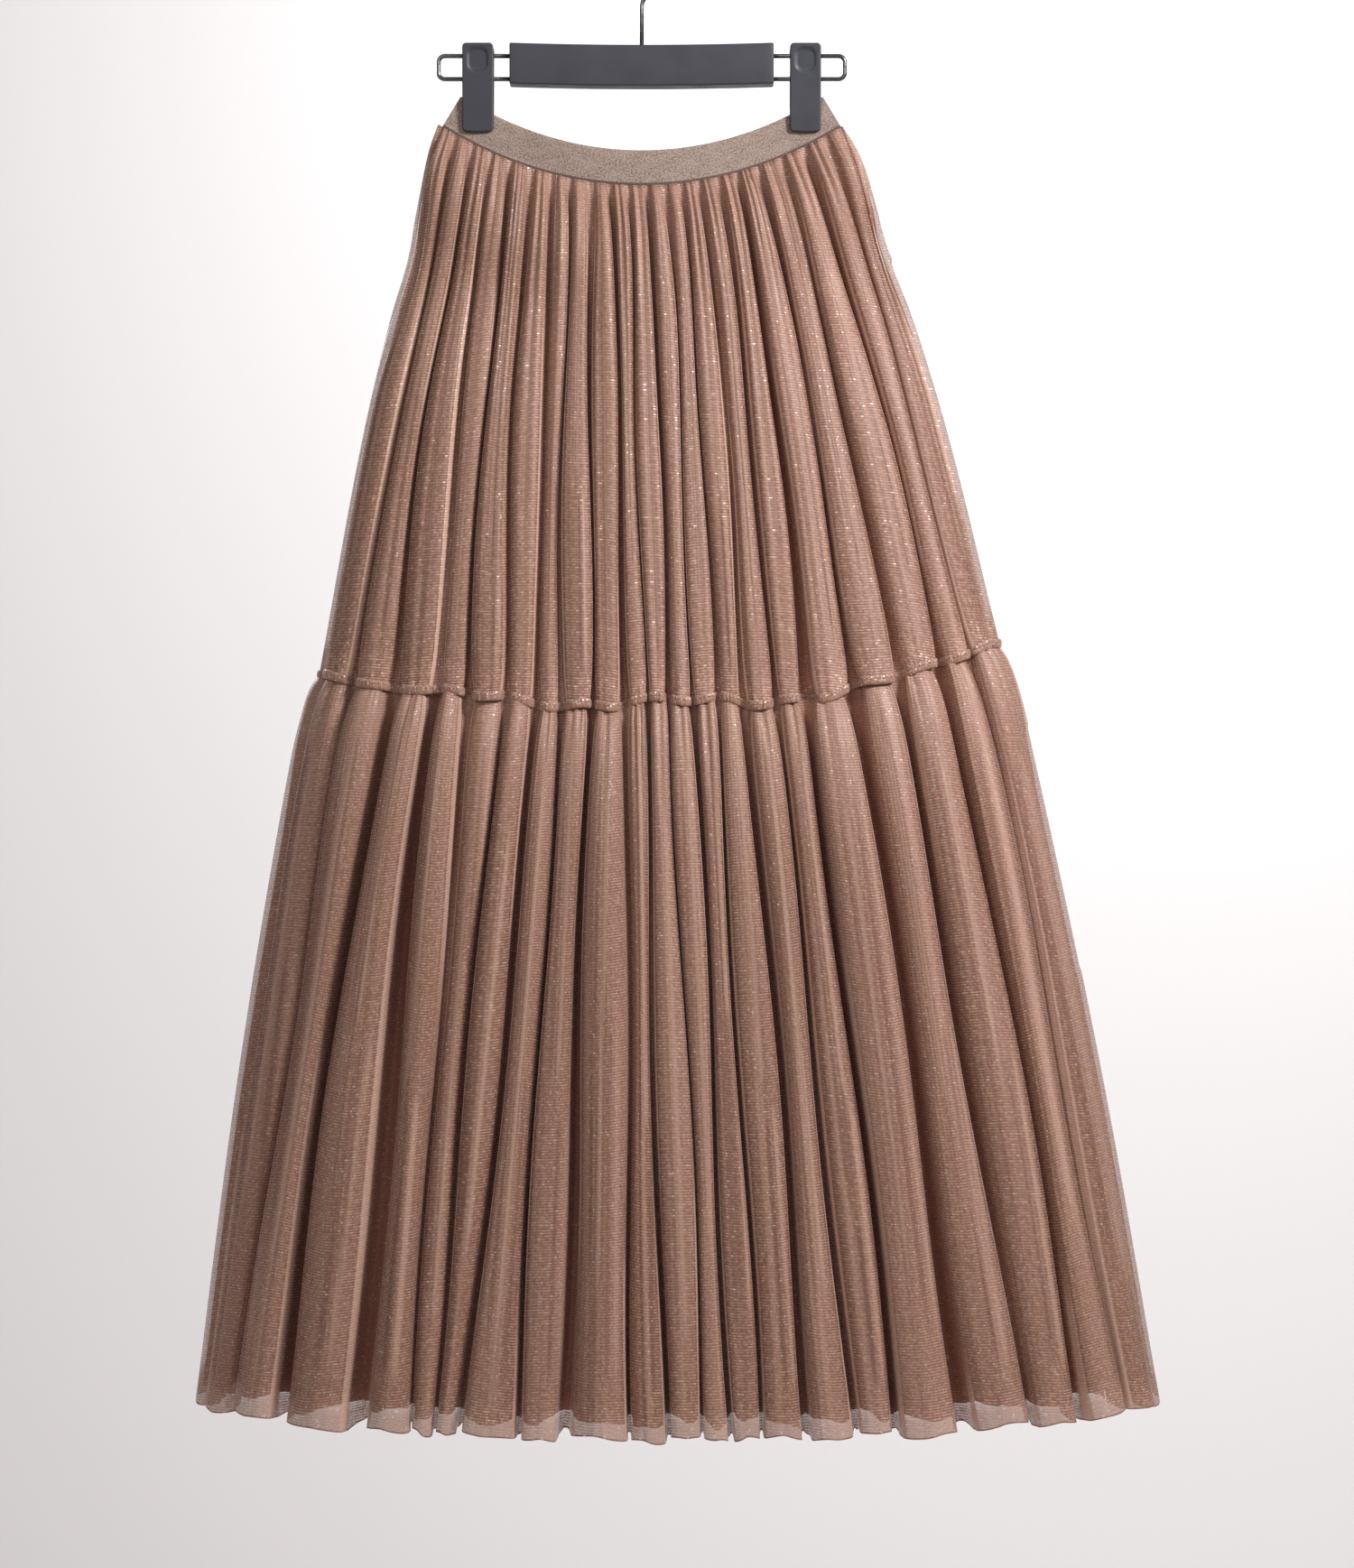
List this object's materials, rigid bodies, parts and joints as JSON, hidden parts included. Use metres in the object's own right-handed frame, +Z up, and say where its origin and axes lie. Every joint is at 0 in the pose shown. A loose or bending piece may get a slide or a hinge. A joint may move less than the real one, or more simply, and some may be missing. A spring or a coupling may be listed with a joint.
{
  "type": "tulle maxi skirt on a clip hanger",
  "caption": "Long tiered skirt of gathered soft net with an elastic waistband and an inner layer, hanging from a hanger that holds it with clips.",
  "frame": {"origin": "inside top of the hanger's hook, where the rail that holds it touches", "axes": "+Z up along the hanging skirt; +X towards the viewer's right when facing the front; the front faces -Y"},
  "size_m": [0.6922, 0.2198, 1.0735],
  "materials": {
    "net": "soft sheer net with a fine shimmer, dusty rose brown",
    "net_seam": "gathered seam allowance of the same net, denser",
    "inner_cloth": "plain inner layer, darker brown",
    "elastic": "woven covered elastic, taupe, matte",
    "hanger_plastic": "moulded, charcoal grey, satin",
    "hanger_wire": "dark polished steel wire"
  },
  "bodies": {
    "root": {"waistband_front": "elastic", "waistband_back": "elastic", "upper_tier_front": "net", "upper_tier_back": "net", "seam_tape_front": "net_seam", "seam_tape_back": "net_seam", "lower_tier_front": "net", "lower_tier_back": "net", "inner_layer_front": "inner_cloth", "inner_layer_back": "inner_cloth", "hanger_bar": "hanger_plastic", "hanger_hook": "hanger_wire", "hanger_rails_left": "hanger_wire", "hanger_rails_right": "hanger_wire", "clip_left_front": "hanger_plastic", "clip_left_back": "hanger_plastic", "clip_left_spring": "hanger_wire", "clip_right_front": "hanger_plastic", "clip_right_back": "hanger_plastic", "clip_right_spring": "hanger_wire"}
  },
  "joints": []
}
